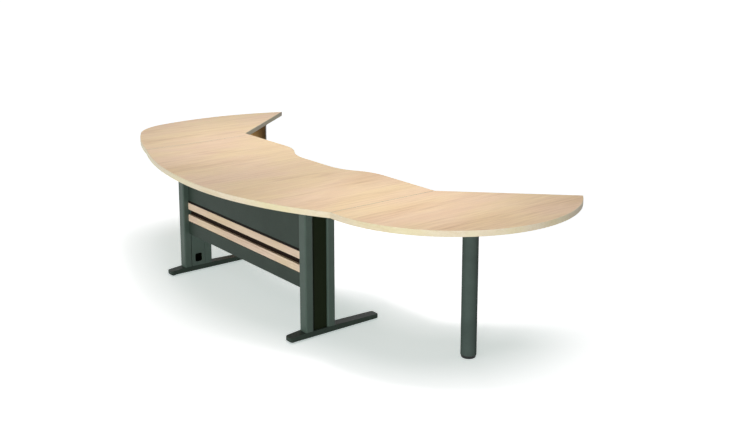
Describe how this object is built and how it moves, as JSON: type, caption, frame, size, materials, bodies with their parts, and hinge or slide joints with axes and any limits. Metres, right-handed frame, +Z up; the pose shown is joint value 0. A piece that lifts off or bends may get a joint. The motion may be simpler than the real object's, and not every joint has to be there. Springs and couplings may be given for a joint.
{
  "type": "executive office desk",
  "caption": "Bow-fronted office desk on T-shaped steel legs with a slatted modesty panel, a rounded extension on a round leg and a pointed return on a panel leg.",
  "frame": {"origin": "on the floor under the middle of the whole desk's box", "axes": "+X along the main top towards the rounded extension, +Y from the visitor's side to the user's side, +Z up"},
  "size_m": [3.2885, 1.5488, 0.74],
  "materials": {
    "maple_laminate": "pale maple-effect laminate, fine straight grain, satin",
    "maple_edge_band": "pale maple-effect edge band with rounded edges, satin",
    "maple_slat": "maple-effect laminate slat, satin",
    "grey_powder_coat": "dark grey powder coat, fine texture, semi-matt",
    "dark_powder_coat": "near-black powder coat, matt",
    "black_plastic": "black moulded plastic, matt",
    "zinc_plate": "zinc-plated steel sheet",
    "brown_laminate": "dark brown wood-effect laminate, satin",
    "brown_edge_band": "dark brown edge band, satin"
  },
  "bodies": {
    "desk": {"main_top": "maple_laminate", "main_edge_band": "maple_edge_band", "extension_top": "maple_laminate", "extension_edge_band": "maple_edge_band", "return_top": "maple_laminate", "return_edge_band": "maple_edge_band", "right_leg_foot": "grey_powder_coat", "right_leg_front_column": "grey_powder_coat", "right_leg_rear_column": "grey_powder_coat", "right_leg_inner_panel": "grey_powder_coat", "right_leg_head": "grey_powder_coat", "right_leg_duct_cover": "dark_powder_coat", "left_leg_foot": "grey_powder_coat", "left_leg_front_column": "grey_powder_coat", "left_leg_rear_column": "grey_powder_coat", "left_leg_inner_panel": "grey_powder_coat", "left_leg_head": "grey_powder_coat", "left_leg_duct_cover": "dark_powder_coat", "front_rail": "grey_powder_coat", "rear_rail": "grey_powder_coat", "modesty_upper_panel": "grey_powder_coat", "modesty_lower_panel": "grey_powder_coat", "modesty_lower_slat": "maple_slat", "modesty_upper_slat": "maple_slat", "modesty_back_plate": "dark_powder_coat", "right_upper_bracket": "zinc_plate", "right_lower_bracket": "zinc_plate", "left_upper_bracket": "zinc_plate", "left_lower_bracket": "zinc_plate", "extension_front_plate": "zinc_plate", "extension_rear_plate": "zinc_plate", "return_front_plate": "zinc_plate", "return_rear_plate": "zinc_plate", "round_leg_tube": "grey_powder_coat", "round_leg_flange": "grey_powder_coat", "round_leg_plug": "black_plastic", "panel_leg_board": "brown_laminate", "panel_leg_inner_band": "brown_edge_band", "panel_leg_outer_band": "brown_edge_band", "panel_leg_angle": "zinc_plate"},
    "right_leg_front_leveller_body": {"right_leg_front_leveller": "black_plastic"},
    "right_leg_rear_leveller_body": {"right_leg_rear_leveller": "black_plastic"},
    "left_leg_front_leveller_body": {"left_leg_front_leveller": "black_plastic"},
    "left_leg_rear_leveller_body": {"left_leg_rear_leveller": "black_plastic"},
    "round_leg_leveller_body": {"round_leg_leveller": "black_plastic"},
    "panel_leg_inner_leveller_body": {"panel_leg_inner_leveller": "black_plastic"},
    "panel_leg_outer_leveller_body": {"panel_leg_outer_leveller": "black_plastic"}
  },
  "joints": [
    {"name": "right_leg_front_leveller_screw", "type": "slide", "parent": "desk", "child": "right_leg_front_leveller_body", "axis": [0, 0, -1], "range_m": [0, 0.012]},
    {"name": "right_leg_rear_leveller_screw", "type": "slide", "parent": "desk", "child": "right_leg_rear_leveller_body", "axis": [0, 0, -1], "range_m": [0, 0.012]},
    {"name": "left_leg_front_leveller_screw", "type": "slide", "parent": "desk", "child": "left_leg_front_leveller_body", "axis": [0, 0, -1], "range_m": [0, 0.012]},
    {"name": "left_leg_rear_leveller_screw", "type": "slide", "parent": "desk", "child": "left_leg_rear_leveller_body", "axis": [0, 0, -1], "range_m": [0, 0.012]},
    {"name": "round_leg_leveller_screw", "type": "slide", "parent": "desk", "child": "round_leg_leveller_body", "axis": [0, 0, -1], "range_m": [0, 0.012]},
    {"name": "panel_leg_inner_leveller_screw", "type": "slide", "parent": "desk", "child": "panel_leg_inner_leveller_body", "axis": [0, 0, -1], "range_m": [0, 0.012]},
    {"name": "panel_leg_outer_leveller_screw", "type": "slide", "parent": "desk", "child": "panel_leg_outer_leveller_body", "axis": [0, 0, -1], "range_m": [0, 0.012]}
  ]
}
